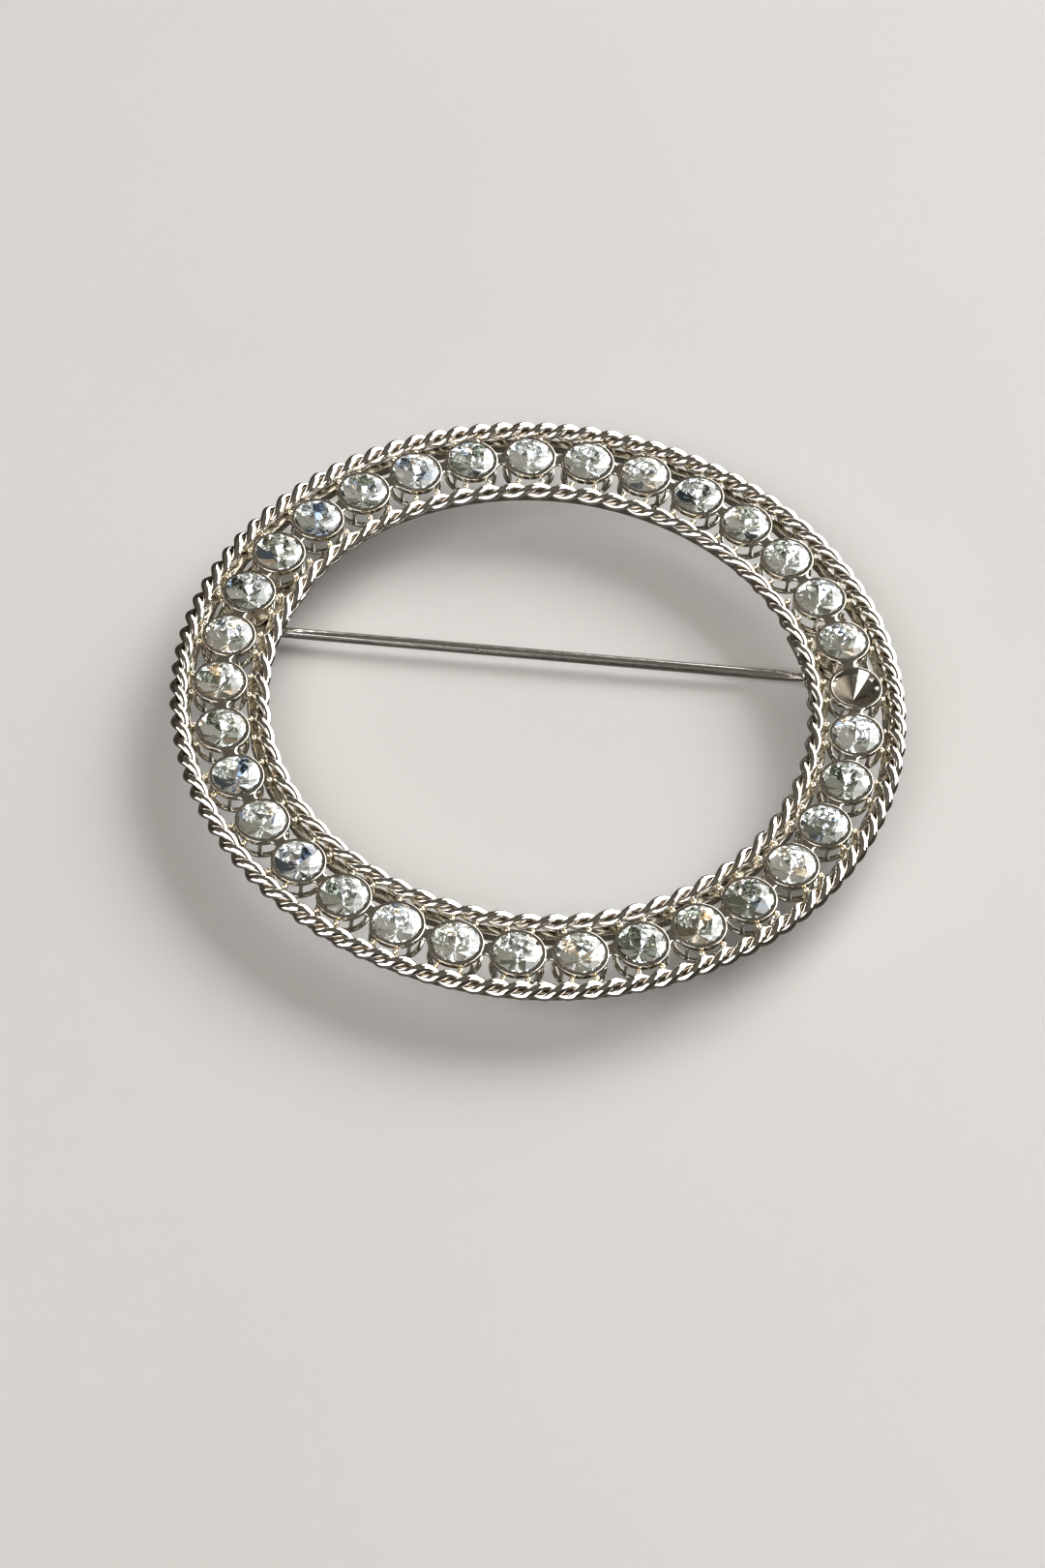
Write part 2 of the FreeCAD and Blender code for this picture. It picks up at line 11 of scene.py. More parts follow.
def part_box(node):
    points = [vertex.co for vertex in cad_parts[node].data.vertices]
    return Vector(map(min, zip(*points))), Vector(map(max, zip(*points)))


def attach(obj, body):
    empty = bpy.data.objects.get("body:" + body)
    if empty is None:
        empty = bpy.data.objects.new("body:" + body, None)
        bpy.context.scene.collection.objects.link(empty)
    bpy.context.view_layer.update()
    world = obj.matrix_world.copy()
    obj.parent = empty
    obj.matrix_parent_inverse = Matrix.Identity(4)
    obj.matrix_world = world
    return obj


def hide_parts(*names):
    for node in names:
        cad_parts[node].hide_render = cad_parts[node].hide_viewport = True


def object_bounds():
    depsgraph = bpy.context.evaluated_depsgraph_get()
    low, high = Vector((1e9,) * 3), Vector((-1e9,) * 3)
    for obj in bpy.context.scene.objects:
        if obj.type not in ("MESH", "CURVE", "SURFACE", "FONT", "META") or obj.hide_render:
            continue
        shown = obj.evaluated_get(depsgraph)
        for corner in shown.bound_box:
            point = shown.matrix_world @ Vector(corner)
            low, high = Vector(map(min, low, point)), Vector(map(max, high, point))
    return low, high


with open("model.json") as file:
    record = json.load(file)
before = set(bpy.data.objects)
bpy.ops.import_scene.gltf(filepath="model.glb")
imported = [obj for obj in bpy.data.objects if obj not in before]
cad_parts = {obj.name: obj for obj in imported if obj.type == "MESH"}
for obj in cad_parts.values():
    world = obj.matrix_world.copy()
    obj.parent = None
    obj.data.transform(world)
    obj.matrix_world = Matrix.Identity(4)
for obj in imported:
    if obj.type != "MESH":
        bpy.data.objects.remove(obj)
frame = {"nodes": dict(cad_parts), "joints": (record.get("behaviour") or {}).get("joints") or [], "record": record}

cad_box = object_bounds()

# A round brooch: 33 cups in a ring between two twisted ropes, 32 of them set with foiled stones.
# Shapes are worked out in millimetres and scaled when a piece is made. +Z points out of the stones.
MM = 0.001
FULL_TURN = 2 * math.pi
dice = random.Random(33)


# ---------------------------------------------------------------- Sizes read from the frame


def points_of(*nodes):
    """The corners of CAD nodes, in millimetres."""
    rows = [vertex.co for node in nodes for vertex in frame["nodes"][node].data.vertices]
    return np.array(rows, float) / MM


def middle(node):
    low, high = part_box(node)
    return (low + high) / 2 / MM


def ring_span(*nodes):
    """Inner and outer radius about the brooch's axis, lowest and highest z."""
    points = points_of(*nodes)
    radii = np.hypot(points[:, 0], points[:, 1])
    return radii.min(), radii.max(), points[:, 2].min(), points[:, 2].max()


stone_nodes = sorted(node for node in frame["nodes"] if node.startswith("stone_"))
setting_count = len(stone_nodes) + 1
pitch_angle = FULL_TURN / setting_count
ring_radius = float(np.mean([middle(node).xy.length for node in stone_nodes]))
first_stone = middle(stone_nodes[0])
empty_angle = math.atan2(first_stone.y, first_stone.x) - pitch_angle
setting_angles = [empty_angle + step * pitch_angle for step in range(setting_count)]


def setting_span(node):
    """Lowest and highest distance from the nearest setting's own axis, lowest and highest z."""
    points = points_of(node)
    angles = np.arctan2(points[:, 1], points[:, 0])
    nearest = empty_angle + np.round((angles - empty_angle) / pitch_angle) * pitch_angle
    across = points[:, 0] - ring_radius * np.cos(nearest)
    along = points[:, 1] - ring_radius * np.sin(nearest)
    distance = np.hypot(across, along)
    return distance.min(), distance.max(), points[:, 2].min(), points[:, 2].max()


# ---------------------------------------------------------------- Shapes: (points, faces) pairs


def merged(shapes):
    """Several shapes as one."""
    points, faces, offset = [], [], 0
    for shape_points, shape_faces in shapes:
        points.append(shape_points)
        faces.extend(tuple(corner + offset for corner in face) for face in shape_faces)
        offset += len(shape_points)
    return np.vstack(points), faces


def moved(shape, matrix):
    """A shape turned and moved by a 4x4 matrix."""
    rows = np.array(matrix, float)
    return shape[0] @ rows[:3, :3].T + rows[:3, 3], shape[1]


def at(x, y, z, turn=0.0):
    return Matrix.Translation((x, y, z)) @ Matrix.Rotation(turn, 4, "Z")


def eased(corners, steps=4):
    """An outline of (across, up, radius) corners, each rounded to an arc of its own radius."""
    outline = []
    for index, (across, up, radius) in enumerate(corners):
        here = np.array((across, up), float)
        if radius == 0:
            outline.append(here)
            continue
        before = np.array(corners[index - 1][:2], float) - here
        after = np.array(corners[(index + 1) % len(corners)][:2], float) - here
        before /= np.linalg.norm(before)
        after /= np.linalg.norm(after)
        half = math.acos(np.clip(before @ after, -1, 1)) / 2
        centre = here + (before + after) / np.linalg.norm(before + after) * radius / math.sin(half)
        reach = radius / math.tan(half)
        start = math.atan2(*(here + before * reach - centre)[::-1])
        end = math.atan2(*(here + after * reach - centre)[::-1])
        sweep = (end - start + math.pi) % FULL_TURN - math.pi
        for step in range(steps + 1):
            angle = start + sweep * step / steps
            outline.append(centre + radius * np.array((math.cos(angle), math.sin(angle))))
    return outline


def lathe(outline, segments, closed=False):
    """An outline of (radius, height) points turned about Z. An open one starts and ends on the axis."""
    points, rows = [], []
    for radius, height in outline:
        on_axis = radius < 1e-9
        count = 1 if on_axis else segments
        rows.append([len(points) + step % count for step in range(segments)])
        for step in range(count):
            angle = FULL_TURN * step / segments
            points.append((radius * math.cos(angle), radius * math.sin(angle), height))
    faces = []
    pairs = list(zip(rows, rows[1:]))
    if closed:
        pairs.append((rows[-1], rows[0]))
    for lower, upper in pairs:
        for step in range(segments):
            following = (step + 1) % segments
            corners = (lower[step], lower[following], upper[following], upper[step])
            faces.append(tuple(dict.fromkeys(corners)))
    return np.array(points), [face for face in faces if len(face) > 2]


def swept(sections, closed):
    """Equal closed loops of points joined one to the next. Open sweeps get a flat cap at each end."""
    count, sides = sections.shape[:2]
    points = sections.reshape(-1, 3)
    faces = []
    for step in range(count if closed else count - 1):
        here = step * sides
        there = (step + 1) % count * sides
        for side in range(sides):
            beside = (side + 1) % sides
            faces.append((here + side, here + beside, there + beside, there + side))
    if not closed:
        faces.append(tuple(reversed(range(sides))))
        faces.append(tuple((count - 1) * sides + side for side in range(sides)))
    return points, faces


def prism(outline, start, end, axis="Z"):
    """A flat outline pushed along Z, or along Y or X with the outline in XZ or YZ."""
    flat = np.array([tuple(point)[:2] for point in outline], float)
    levels = []
    for level in (start, end):
        along = np.full(len(flat), level)
        columns = {
            "Z": (flat[:, 0], flat[:, 1], along),
            "Y": (flat[:, 0], along, flat[:, 1]),
            "X": (along, flat[:, 0], flat[:, 1]),
        }[axis]
        levels.append(np.stack(columns, axis=1))
    return swept(np.stack(levels), closed=False)


def circle(radius, sides=48, across=0.0, up=0.0):
    turns = [FULL_TURN * step / sides for step in range(sides)]
    return [(across + radius * math.cos(turn), up + radius * math.sin(turn)) for turn in turns]


def rectangle(low, high):
    return [low, (high[0], low[1]), high, (low[0], high[1])]


def mesh_of(shape, name):
    """A mesh of a shape, with its faces turned outwards."""
    mesh = bpy.data.meshes.new(name)
    mesh.from_pydata(shape[0].tolist(), [], shape[1])
    build = bmesh.new()
    build.from_mesh(mesh)
    bmesh.ops.recalc_face_normals(build, faces=build.faces)
    build.to_mesh(mesh)
    build.free()
    return mesh


def machined(base, steps, edge, edge_steps=3):
    """A shape with others joined to it or cut from it in turn, and then its sharp edges rounded."""
    held = []
    for index, (kind, shape) in enumerate([("BASE", base), *steps]):
        item = bpy.data.objects.new(f"work_{index}", mesh_of(shape, f"work_{index}"))
        bpy.context.scene.collection.objects.link(item)
        held.append(item)
        if kind != "BASE":
            boolean = held[0].modifiers.new(f"step_{index}", "BOOLEAN")
            boolean.operation = kind
            boolean.solver = "EXACT"
            boolean.object = item
    bevel = held[0].modifiers.new("edges", "BEVEL")
    bevel.width = edge
    bevel.segments = edge_steps
    bevel.limit_method = "ANGLE"
    bevel.angle_limit = math.radians(35)
    bpy.context.view_layer.update()
    evaluated = held[0].evaluated_get(bpy.context.evaluated_depsgraph_get())
    mesh = evaluated.to_mesh()
    points = np.array([vertex.co for vertex in mesh.vertices], float)
    faces = [tuple(polygon.vertices) for polygon in mesh.polygons]
    evaluated.to_mesh_clear()
    for item in held:
        spare = item.data
        bpy.data.objects.remove(item)
        bpy.data.meshes.remove(spare)
    return points, faces


def make_piece(name, shape, materials, body, nodes, crease=38.0, face_slots=None):
    """A shown piece: a shape in millimetres, standing for CAD nodes and riding on a CAD body."""
    mesh = mesh_of((shape[0] * MM, shape[1]), name)
    for material in materials:
        mesh.materials.append(material)
    if face_slots is not None:
        mesh.polygons.foreach_set("material_index", face_slots)
    mesh.shade_smooth()
    mesh.set_sharp_from_angle(angle=math.radians(crease))
    item = bpy.data.objects.new(name, mesh)
    bpy.context.scene.collection.objects.link(item)
    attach(item, body)
    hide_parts(*nodes)
    return item


# ---------------------------------------------------------------- Materials


class Shading:
    """A material's node tree, with short calls for the nodes that the materials here share."""

    def __init__(self, name):
        self.material = bpy.data.materials.new(name)
        self.material.use_nodes = True
        self.tree = self.material.node_tree
        self.tree.nodes.clear()
        self.output = self.tree.nodes.new("ShaderNodeOutputMaterial")
        self.place = self.tree.nodes.new("ShaderNodeTexCoord").outputs["Object"]

    def node(self, kind, inputs=None, **settings):
        made = self.tree.nodes.new("ShaderNode" + kind)
        for key, value in settings.items():
            setattr(made, key, value)
        for key, value in (inputs or {}).items():
            self.feed(made.inputs[key], value)
        return made

    def feed(self, socket, value):
        if isinstance(value, bpy.types.NodeSocket):
            self.tree.links.new(value, socket)
        else:
            socket.default_value = value

    def noise(self, size, detail=3.0, stretch=(1.0, 1.0, 1.0), roughness=0.5):
        """Noise with features about size millimetres across, drawn out by stretch along each axis."""
        scale = [1 / (size * MM * part) for part in stretch]
        mapping = self.node("Mapping", {"Vector": self.place, "Scale": scale})
        inputs = {"Vector": mapping.outputs[0], "Scale": 1.0, "Detail": detail, "Roughness": roughness}
        return self.node("TexNoise", inputs).outputs["Fac"]

    def spread(self, value, low, high, start=0.0, end=1.0):
        """value's range low to high brought to start to end."""
        inputs = {"Value": value, "From Min": low, "From Max": high, "To Min": start, "To Max": end}
        return self.node("MapRange", inputs).outputs["Result"]

    def blend(self, share, first, second):
        mix = self.node("Mix", data_type="RGBA")
        self.feed(mix.inputs["Factor"], share)
        self.feed(mix.inputs["A"], first)
        self.feed(mix.inputs["B"], second)
        # The colour result is the last of a Mix node's outputs.
        return mix.outputs[2]

    def math(self, operation, first, second):
        made = self.node("Math", operation=operation)
        self.feed(made.inputs[0], first)
        self.feed(made.inputs[1], second)
        return made.outputs[0]

    def bump(self, height, depth, strength=1.0, normal=None):
        """A bump whose full height is depth millimetres."""
        inputs = {"Height": height, "Distance": depth * MM, "Strength": strength}
        if normal is not None:
            inputs["Normal"] = normal
        return self.node("Bump", inputs).outputs["Normal"]

    def finish(self, shader):
        self.tree.links.new(shader.outputs[0], self.output.inputs["Surface"])
        return self.material


def fill_ramp(ramp, stops):
    """A colour ramp's stops, from (position, colour) pairs."""
    while len(ramp.elements) < len(stops):
        ramp.elements.new(1.0)
    for element, (position, colour) in zip(ramp.elements, stops):
        element.position = position
        element.color = colour


def record_colour(slot):
    """The base colour that the record gives a material slot."""
    for entry in frame["record"]["materials"]:
        if entry["slot"] == slot:
            return tuple(entry["base_color"][:3]) + (1.0,)
    raise KeyError(slot)


def tinted(colour, red, green, blue):
    return (colour[0] * red, colour[1] * green, colour[2] * blue, 1.0)


# What a metal's colour is multiplied by in its recesses: painted shade, and in the warm one also painted golden
# reflections of metal on metal.
PLATED_PAINTED_SHADE = (0.62, 0.56, 0.47)
DEEP_PAINTED_SHADE = (0.30, 0.27, 0.22)
WARM_PAINTED_SHADE = (0.95, 0.84, 0.62)
PAINTED_SHADE_REACH = 0.5


def metal(name, colour, smooth, rough, ripple, scratch=0.0012, grain=(1, 1, 1), shade_tint=PLATED_PAINTED_SHADE):
    """Metal with soft waves from casting, hairline scratches, and recesses that are a little rougher and tinted
    darker as painted shade.

    smooth and rough are its lowest and highest roughness, ripple and scratch are depths in millimetres,
    and grain draws the scratches out along each axis.
    """
    shading = Shading(name)
    cloud = shading.noise(3.5, detail=4)
    worn = shading.spread(cloud, 0.42, 0.68)
    warm = tinted(colour, 1.02, 0.96, 0.86)
    base = shading.blend(shading.math("MULTIPLY", worn, 0.35), colour, warm)
    # Ambient occlusion finds the recesses; blending in the recess tint there paints shade into the base colour.
    occlusion = shading.node("AmbientOcclusion", {"Distance": PAINTED_SHADE_REACH * MM}, samples=4)
    shade = shading.spread(occlusion.outputs["AO"], 0.2, 0.75, 1.0, 0.0)
    base = shading.blend(shade, base, tinted(colour, *shade_tint))
    fine = shading.noise(0.22, detail=4, roughness=0.65)
    dull = shading.spread(fine, 0.35, 0.75, smooth, rough)
    dull = shading.math("ADD", dull, shading.math("MULTIPLY", shade, 0.06))
    waves = shading.noise(0.9, detail=2)
    lines = shading.noise(0.05, detail=2, stretch=grain)
    normal = shading.bump(waves, ripple)
    normal = shading.bump(lines, scratch, normal=normal)
    inputs = {"Base Color": base, "Metallic": 1.0, "Roughness": dull, "Normal": normal}
    return shading.finish(shading.node("BsdfPrincipled", inputs))


def empty_seat(name, colour):
    """The bared seat: the cup's metal, with painted shade down its left side, a ragged darker patch that is also
    rougher there.
    """
    shading = Shading(name)
    centre = (ring_radius * MM * math.cos(empty_angle), ring_radius * MM * math.sin(empty_angle), 0)
    inputs = {0: shading.place, 1: centre}
    across = shading.node("VectorMath", inputs, operation="SUBTRACT").outputs["Vector"]
    parts = shading.node("SeparateXYZ", {0: across}).outputs
    turn = shading.math("ARCTAN2", parts["Y"], parts["X"])
    ragged = shading.math("MULTIPLY", shading.math("SUBTRACT", shading.noise(0.5), 0.5), 0.5)
    # The painted shade lies where the angle about the seat, without its sign, is near its middle angle.
    shade_middle = 2.5
    unsigned = shading.math("ABSOLUTE", turn, 0.0)
    left = shading.math("ABSOLUTE", shading.math("SUBTRACT", unsigned, shade_middle), 0.0)
    painted_shade = shading.spread(shading.math("ADD", left, ragged), 0.75, 0.95, 1.0, 0.0)
    shade_colour = shading.blend(shading.noise(0.35, detail=4), (0.05, 0.04, 0.03, 1), (0.15, 0.13, 0.10, 1))
    dusty = shading.spread(shading.noise(0.2, detail=4), 0.3, 0.7, 0.05, 0.13)
    inputs = {
        "Base Color": shading.blend(painted_shade, colour, shade_colour),
        "Metallic": 1.0,
        "Roughness": shading.math("ADD", dusty, shading.math("MULTIPLY", painted_shade, 0.34)),
        "Normal": shading.bump(shading.noise(0.7), 0.004),
    }
    return shading.finish(shading.node("BsdfPrincipled", inputs))


def glass(name, colour):
    """Cut glass: almost clear, with faint haze and hairline wear."""
    shading = Shading(name)
    haze = shading.spread(shading.noise(0.6, detail=3), 0.5, 0.8, 0.0, 0.05)
    lines = shading.noise(0.04, detail=2, stretch=(12, 1, 1))
    cloud = shading.noise(1.4)
    body = shading.blend(shading.spread(cloud, 0.3, 0.7), colour, tinted(colour, 0.96, 1.0, 0.97))
    inputs = {
        "Base Color": body,
        "Roughness": haze,
        "IOR": 1.58,
        "Transmission Weight": 1.0,
        "Normal": shading.bump(lines, 0.0003),
    }
    return shading.finish(shading.node("BsdfPrincipled", inputs))


def foil(name):
    """The silvered back of a stone: bright, each facet a little different, with painted reflections: a few facets
    painted dark or blue, a few peach, as glints and dark reflections of the stone's play of light.
    """
    shading = Shading(name)
    reflection_pick = shading.node("Attribute", attribute_name="painted_facet_reflection").outputs["Fac"]
    ramp = shading.node("ValToRGB", {"Fac": reflection_pick})
    ramp.color_ramp.interpolation = "CONSTANT"
    fill_ramp(ramp.color_ramp, [
        (0.0, (0.16, 0.20, 0.27, 1)),
        (0.05, (0.32, 0.34, 0.29, 1)),
        (0.15, (0.78, 0.79, 0.76, 1)),
        (0.45, (0.96, 0.97, 0.97, 1)),
        (0.90, (0.98, 0.97, 0.95, 1)),
        (0.96, (0.97, 0.80, 0.62, 1)),
    ])
    grain = shading.noise(0.12, detail=4)
    inputs = {
        "Base Color": ramp.outputs["Color"],
        "Metallic": 1.0,
        "Roughness": shading.spread(grain, 0.3, 0.8, 0.03, 0.12),
        "Normal": shading.bump(shading.noise(0.5), 0.0006),
    }
    return shading.finish(shading.node("BsdfPrincipled", inputs))


plated = record_colour("plated_metal")
rope_colour = tinted(plated, 0.99, 0.99, 1.05)
# The cups' copy of the plated metal is a little darker than the ropes', as painted shade on their flats.
cup_shaded_colour = tinted(plated, 0.84, 0.84, 0.86)
rope_metal = metal("rope_metal", rope_colour, smooth=0.05, rough=0.14, ripple=0.010)
cup_metal = metal("cup_metal", cup_shaded_colour, smooth=0.05, rough=0.15, ripple=0.006)
seat_metal = empty_seat("seat_metal", cup_shaded_colour)
# The rails' copy of the plated metal is darkened to about half, as painted shade where they lie low under the
# ropes.
rail_shaded_colour = tinted(plated, 0.56, 0.55, 0.52)
rail_painted_shade_metal = metal("rail_painted_shade_metal", rail_shaded_colour, smooth=0.20, rough=0.30, ripple=0.002, shade_tint=DEEP_PAINTED_SHADE)
# The beads' copy of the plated metal is warmed, as a painted golden reflection of the metal around them.
bead_painted_warm_colour = tinted(plated, 1.06, 1.02, 0.90)
bead_metal = metal("bead_metal", bead_painted_warm_colour, smooth=0.12, rough=0.2, ripple=0.004, shade_tint=WARM_PAINTED_SHADE)
finding_metal = metal(
    "finding_metal", record_colour("finding_metal"), smooth=0.14, rough=0.26,
    ripple=0.004, scratch=0.003, grain=(30, 1, 1), shade_tint=DEEP_PAINTED_SHADE,
)
pin_metal = metal(
    "pin_metal", record_colour("pin_steel"), smooth=0.10, rough=0.20,
    ripple=0.001, scratch=0.0006, grain=(60, 1, 1),
)
stone_glass = glass("stone_glass", tinted(record_colour("stone_glass"), 0.93, 0.94, 1.02))
stone_foil = foil("stone_foil")


# ---------------------------------------------------------------- The ropes


def rope_strand(ring, height, wire, offset, turns, phase):
    """One round wire twisted left-handed round a circle: offset from the rope's middle by its own spin."""
    stations_per_turn = 32
    sides = 16
    steps = stations_per_turn * turns
    angle = np.linspace(0, FULL_TURN, steps, endpoint=False)
    spin = phase + turns * angle
    outward = np.stack([np.cos(angle), np.sin(angle), np.zeros(steps)], axis=1)
    onward = np.stack([-np.sin(angle), np.cos(angle), np.zeros(steps)], axis=1)
    upward = np.array((0.0, 0.0, 1.0))
    away = outward * np.cos(spin)[:, None] + upward * np.sin(spin)[:, None]
    across = upward * np.cos(spin)[:, None] - outward * np.sin(spin)[:, None]
    centre = outward * ring + upward * height + away * offset
    tangent = onward * ring + across * (offset * turns)
    tangent /= np.linalg.norm(tangent, axis=1)[:, None]
    aside = np.cross(tangent, away)
    # Hand-finished castings are never quite even, so the wire swells and thins a little along its way.
    uneven = np.zeros(steps)
    wave_count = 5
    wave_share = 0.004
    for _ in range(wave_count):
        waves = dice.randint(turns // 2, turns * 2)
        uneven += wave_share * np.sin(waves * angle + dice.uniform(0, FULL_TURN))
    radius = (wire / 2) * (1 + uneven)
    loops = []
    for side in range(sides):
        turn = FULL_TURN * side / sides
        loops.append(centre + radius[:, None] * (away * math.cos(turn) + aside * math.sin(turn)))
    return swept(np.stack(loops, axis=1), closed=True)


def make_rope(side, turns):
    """The two wires of a rope, touching one another along the middle of its round section."""
    nodes = [f"{side}_rope_strand_{letter}" for letter in "ab"]
    outer, low, high = ring_span(*nodes)[1:]
    wire = (high - low) / 2
    for node, phase in zip(nodes, (0.0, math.pi)):
        shape = rope_strand(outer - wire, (low + high) / 2, wire, wire / 2, turns, phase)
        make_piece(node + "_wire", shape, [rope_metal], "frame", [node])


OUTER_ROPE_TURNS = 49
INNER_ROPE_TURNS = 33
make_rope("outer", OUTER_ROPE_TURNS)
make_rope("inner", INNER_ROPE_TURNS)


# ---------------------------------------------------------------- The settings

cup_radius, cup_foot, rim = setting_span("setting_cups")[1:]
stone_low, stone_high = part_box(stone_nodes[0])
stone_radius = (stone_high.x - stone_low.x) / 2 / MM
stone_clearance = 0.05
seat_radius = stone_radius + stone_clearance
gallery_inner, gallery_outer, gallery_foot, gallery_top = setting_span("gallery_rings")
post_near, post_far, _, shoulder = setting_span("gallery_posts")
_, _, bridge_foot, bridge_top = ring_span("cup_bridges")


def at_settings(shape, lean=0.0, turn=0.0):
    """A shape about its own axis, repeated at every setting and leaning a little differently at each."""
    copies = []
    for angle in setting_angles:
        place = at(ring_radius * math.cos(angle), ring_radius * math.sin(angle), 0, angle + turn)
        tilt = Matrix.Rotation(math.radians(dice.gauss(0, lean)), 4, "X")
        tilt @= Matrix.Rotation(math.radians(dice.gauss(0, lean)), 4, "Y")
        lift = Matrix.Translation((0, 0, rim))
        copies.append(moved(shape, place @ lift @ tilt @ lift.inverted()))
    return merged(copies)


def make_cups():
    """Round cups with a rolled rim, an upright band and a polished conical seat."""
    apex = rim - 1.7
    throat = 1.70
    throat_depth = 0.36
    foot_radius = 0.35
    shoulder_radius = 1.62
    outline = eased([
        (0, cup_foot, 0),
        (foot_radius, cup_foot, 0.08),
        (shoulder_radius, shoulder, 0.10),
        (cup_radius, shoulder, 0.09),
        (cup_radius, rim, 0.05),
        (seat_radius, rim, 0.02),
        (throat, rim - throat_depth, 0.12),
        (0.05, apex + 0.03, 0.05),
        (0, apex, 0),
    ], steps=6)
    turned = lathe(outline, 72)
    shape = at_settings(turned, lean=0.35)
    # The first cup is the empty one. Its seat is what lies inside the lip and above a cone in its wall.
    wall_slope = 0.6
    seat_faces = [0] * len(shape[1])
    for index, face in enumerate(turned[1]):
        across, along, height = turned[0][list(face)].mean(axis=0)
        reach = math.hypot(across, along)
        seat_faces[index] = int(reach < throat and height > apex - 0.05 + wall_slope * reach)
    make_piece(
        "setting_cups_turned", shape, [cup_metal, seat_metal],
        "frame", ["setting_cups"], 30, seat_faces,
    )


def make_gallery():
    """The open gallery below the cups: a ring of flattened wire, on four waisted posts."""
    soft = 0.11
    outline = eased([
        (gallery_inner, gallery_foot, soft),
        (gallery_outer, gallery_foot, soft),
        (gallery_outer, gallery_top, soft),
        (gallery_inner, gallery_top, soft),
    ])
    rings = at_settings(lathe(outline, 56, closed=True))
    make_piece("gallery_rings_wire", rings, [cup_metal], "frame", ["gallery_rings"])
    radius = (post_far - post_near) / 2
    reach = (post_near + post_far) / 2
    overlap = 0.04
    span = shoulder - gallery_top
    waist = [(1.10, 0.10), (0.88, 0.28), (0.82, 0.50), (0.88, 0.72), (1.10, 0.90)]
    flare = radius * 1.35
    profile = [(0, gallery_top - overlap), (flare, gallery_top - overlap)]
    profile += [(radius * width, gallery_top + span * share) for width, share in waist]
    profile += [(flare, shoulder + overlap), (0, shoulder + overlap)]
    post_degrees = (55, 125, 235, 305)
    posts = []
    for corner in post_degrees:
        angle = math.radians(corner)
        place = at(reach * math.cos(angle), reach * math.sin(angle), 0)
        posts.append(moved(lathe(profile, 16), place))
    shape = at_settings(merged(posts))
    make_piece("gallery_posts_waisted", shape, [cup_metal], "frame", ["gallery_posts"])


def make_bridges():
    """Small pillowed plates between neighbouring cups, waisted in the middle and flared to the cups."""
    half_gap = ring_radius * math.sin(pitch_angle / 2) - cup_radius
    lap = 0.23
    reach = half_gap + lap
    waist = 0.58
    flare = 0.42
    thickness = (bridge_top - bridge_foot) / 2
    sides = 28
    stations = 13
    sections = []
    for station in range(stations):
        along = -1 + 2 * station / (stations - 1)
        half_width = waist + flare * abs(along) ** 2.2
        section = []
        for side in range(sides):
            turn = FULL_TURN * side / sides
            wide = math.copysign(abs(math.cos(turn)) ** 0.45, math.cos(turn)) * half_width
            tall = math.copysign(abs(math.sin(turn)) ** 0.55, math.sin(turn)) * thickness
            section.append((wide, along * reach, bridge_top - thickness + tall))
        sections.append(section)
    plate = swept(np.array(sections), closed=False)
    middle_radius = ring_radius * math.cos(pitch_angle / 2)
    copies = []
    for angle in setting_angles:
        between = angle + pitch_angle / 2
        place = at(middle_radius * math.cos(between), middle_radius * math.sin(between), 0, between)
        copies.append(moved(plate, place))
    make_piece("cup_bridges_waisted", merged(copies), [cup_metal], "frame", ["cup_bridges"])


def make_beads(side):
    """Ball-topped posts in pairs between each cup and a rope."""
    node = side + "_posts"
    inner, outer, foot, top = ring_span(node)
    radius = (outer - inner) / 2
    ring = (outer + inner) / 2
    points = points_of(node)
    angles = np.arctan2(points[:, 1], points[:, 0]) - empty_angle
    # The posts stand in pairs about each cup's middle line, so half their spacing is the mean distance.
    offsets = np.abs(angles - np.round(angles / pitch_angle) * pitch_angle)
    spread = float((offsets.min() + offsets.max()) / 2)
    bead = radius * 1.15
    neck = math.radians(-52)
    centre = top - bead
    rounding = [neck + (math.pi / 2 - neck) * step / 9 for step in range(9)]
    sunk = foot - 0.04
    outline = [
        (0, sunk),
        (radius * 1.12, sunk),
        (radius * 0.85, foot + 0.10),
        (radius * 0.72, foot + 0.28),
    ]
    outline += [(bead * math.cos(turn), centre + bead * math.sin(turn)) for turn in rounding]
    outline.append((0, top))
    shape = lathe(outline, 18)
    copies = []
    for angle in setting_angles:
        for sign in (-1, 1):
            place = angle + sign * spread
            copies.append(moved(shape, at(ring * math.cos(place), ring * math.sin(place), 0)))
    make_piece(node + "_beaded", merged(copies), [bead_metal], "frame", [node])


def make_rail(side, lobes, scalloped):
    """The flat ring under a rope, its free edge following the rope's lobes in shallow scallops."""
    node = side + "_rail"
    inner, outer, foot, top = ring_span(node)
    soft = 0.14
    outline = eased([
        (inner, foot, soft),
        (outer, foot, soft),
        (outer, top, soft),
        (inner, top, soft),
    ], steps=5)
    segments = lobes * 8
    points, faces = lathe(outline, segments, closed=True)
    radii = np.hypot(points[:, 0], points[:, 1])
    angles = np.arctan2(points[:, 1], points[:, 0])
    share = (radii - inner) / (outer - inner)
    if scalloped == "inner":
        share = 1 - share
    scallop = 0.07
    depth = scallop * share * (1 - np.cos(lobes * angles)) / 2
    sign = 1 if scalloped == "inner" else -1
    scale = (radii + sign * depth) / radii
    points = points * np.stack([scale, scale, np.ones(len(scale))], axis=1)
    make_piece(node + "_scalloped", (points, faces), [rail_painted_shade_metal], "frame", [node])


make_cups()
make_gallery()
make_bridges()
make_beads("outer")
make_beads("inner")
# Each full turn of a two-wire rope shows two lobes.
make_rail("outer", 2 * OUTER_ROPE_TURNS, "inner")
make_rail("inner", 2 * INNER_ROPE_TURNS, "outer")


# ---------------------------------------------------------------- The stones


